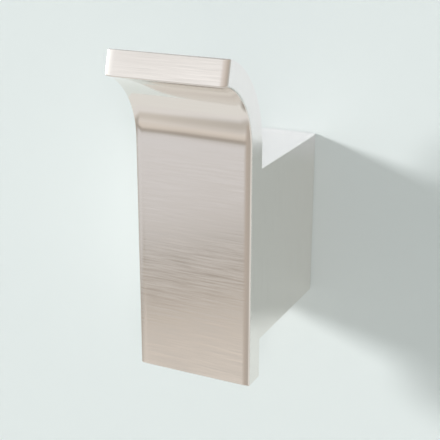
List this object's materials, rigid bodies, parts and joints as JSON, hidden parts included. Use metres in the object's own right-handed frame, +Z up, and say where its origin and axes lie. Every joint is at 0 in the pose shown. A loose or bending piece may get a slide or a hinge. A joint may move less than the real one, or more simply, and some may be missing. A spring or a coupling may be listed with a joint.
{
  "type": "robe hook",
  "caption": "Wall-mounted robe hook: a flat plate flaring forward at the top, on a rectangular post that hides its folded wall bracket.",
  "frame": {"origin": "middle of the post's foot on the wall's face, half way between the two wall screws", "axes": "+Y points into the wall, so the hook stands out along -Y; +Z is up; +X is to the right as seen from the room"},
  "size_m": [0.032, 0.0902, 0.0871],
  "materials": {
    "brushed_nickel": "satin",
    "plated_steel": "satin",
    "screw_steel": "polished",
    "plug_nylon": "matte"
  },
  "bodies": {
    "root": {"hook_body": "brushed_nickel", "wall_bracket": "plated_steel", "wall_screws": "screw_steel", "wall_plugs": "plug_nylon", "set_screw": "screw_steel"}
  },
  "joints": []
}
